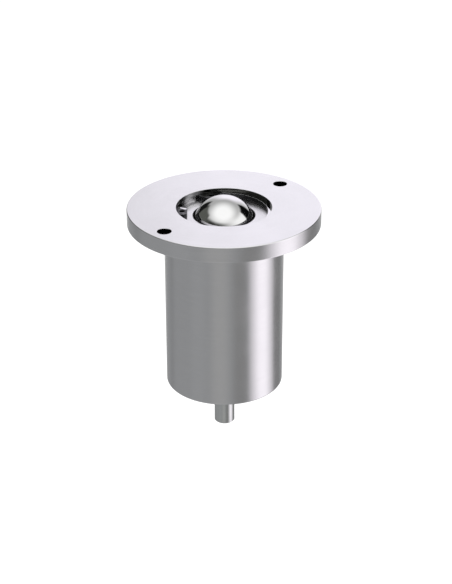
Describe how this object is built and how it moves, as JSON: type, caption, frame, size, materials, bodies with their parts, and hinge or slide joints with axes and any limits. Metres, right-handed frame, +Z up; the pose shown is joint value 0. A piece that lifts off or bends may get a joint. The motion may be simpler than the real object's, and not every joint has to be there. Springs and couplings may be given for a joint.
{
  "type": "ball transfer unit",
  "caption": "Flanged, spring-loaded ball transfer unit: a steel ball rolls on small support balls in a cup that gives way downwards.",
  "frame": {"origin": "on the ball's axis, in the plane of the flange's underside", "axes": "+Z up along the axis towards the load ball; the two screw holes lie on the X axis"},
  "size_m": [0.092, 0.092, 0.1214],
  "materials": {
    "machined_steel": "fine turned, bright",
    "bright_spring_steel": "bright, stained dark round the lugs",
    "polished_cover": "polished",
    "dark_wiper": "matt",
    "bright_steel": "turned",
    "ball_steel": "mirror polished",
    "hardened_steel": "ground",
    "stem_steel": "ground and bright",
    "zinc_plated": "zinc plated",
    "bush_bronze": "sintered, satin",
    "spring_wire": "dark, oil hardened"
  },
  "bodies": {
    "housing": {"housing": "machined_steel", "circlip": "bright_spring_steel", "guide_bush": "bush_bronze", "lower_spring_seat": "hardened_steel", "spring": "spring_wire"},
    "ball_unit": {"ball_carrier": "bright_steel", "bearing_cup": "hardened_steel", "ball_keeper": "bright_steel", "wiper_ring": "dark_wiper", "cover_ring": "polished_cover", "guide_stem": "stem_steel", "stem_nut": "zinc_plated", "lock_washer": "zinc_plated", "upper_spring_seat": "hardened_steel"},
    "support_balls": {"support_row_1": "ball_steel", "support_row_2": "ball_steel", "support_row_3": "ball_steel", "support_row_4": "ball_steel", "support_row_5": "ball_steel"},
    "load_ball": {"load_ball": "ball_steel"}
  },
  "joints": [
    {"name": "ball_unit_travel", "type": "slide", "parent": "housing", "child": "ball_unit", "axis": [0, 0, 1], "range_m": [-0.005, 0], "stiffness_N_per_m": 30000, "springref_m": 0.003, "deforming": ["spring"]},
    {"name": "ball_swivel", "type": "hinge", "parent": "ball_unit", "child": "support_balls", "pos_m": [0, 0, -0.00233], "axis": [0, 0, 1], "continuous": true},
    {"name": "ball_roll", "type": "hinge", "parent": "support_balls", "child": "load_ball", "pos_m": [0, 0, -0.00233], "axis": [1, 0, 0], "continuous": true}
  ]
}
